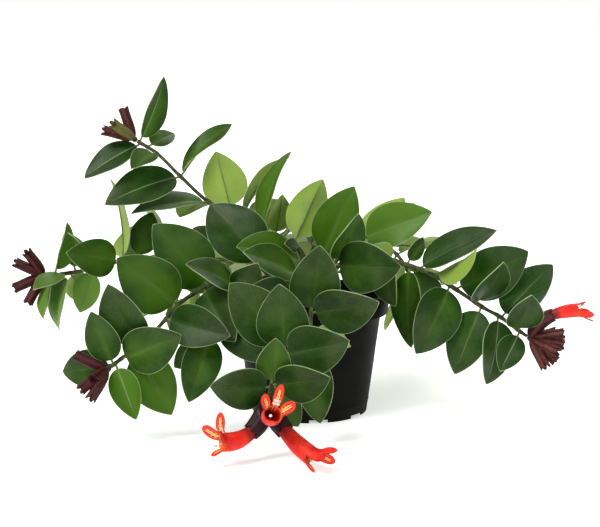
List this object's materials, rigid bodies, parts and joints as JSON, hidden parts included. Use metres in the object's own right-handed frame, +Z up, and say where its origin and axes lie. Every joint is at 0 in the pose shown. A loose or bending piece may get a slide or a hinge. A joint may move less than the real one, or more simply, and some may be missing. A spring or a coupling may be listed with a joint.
{
  "type": "potted lipstick plant",
  "caption": "Trailing house plant with paired leathery oval leaves, dark calyx bunches and red tubular flowers, growing in a plain round nursery pot.",
  "frame": {"origin": "centre of the pot's underside, on the surface that it stands on", "axes": "+Z up; -Y towards the side with the bunch of three open flowers; +X to the right seen from that side"},
  "size_m": [0.4292, 0.3636, 0.2493],
  "materials": {
    "pot": "satin",
    "soil": "matte",
    "foliage": "satin",
    "calyx": "satin",
    "corolla": "satin"
  },
  "bodies": {
    "root": {"pot": "pot", "soil": "soil", "calyces_upper_left": "calyx", "calyces_left": "calyx", "calyces_lower_left": "calyx", "calyces_front": "calyx", "corolla_front_1": "corolla", "corolla_front_2": "corolla", "corolla_front_3": "corolla", "calyces_right": "calyx", "corolla_right_1": "corolla", "calyces_back_left": "calyx", "corolla_back_left_1": "corolla", "calyces_back_right": "calyx", "corolla_back_right_1": "corolla", "shoot_upper_left": "foliage", "shoot_left": "foliage", "shoot_lower_left": "foliage", "shoot_front_left": "foliage", "shoot_front": "foliage", "shoot_front_right": "foliage", "shoot_crown_left": "foliage", "shoot_crown_right": "foliage", "shoot_crown_back": "foliage", "shoot_right": "foliage", "shoot_back_left": "foliage", "shoot_back": "foliage", "shoot_back_right": "foliage", "shoot_left_low": "foliage"}
  },
  "joints": []
}
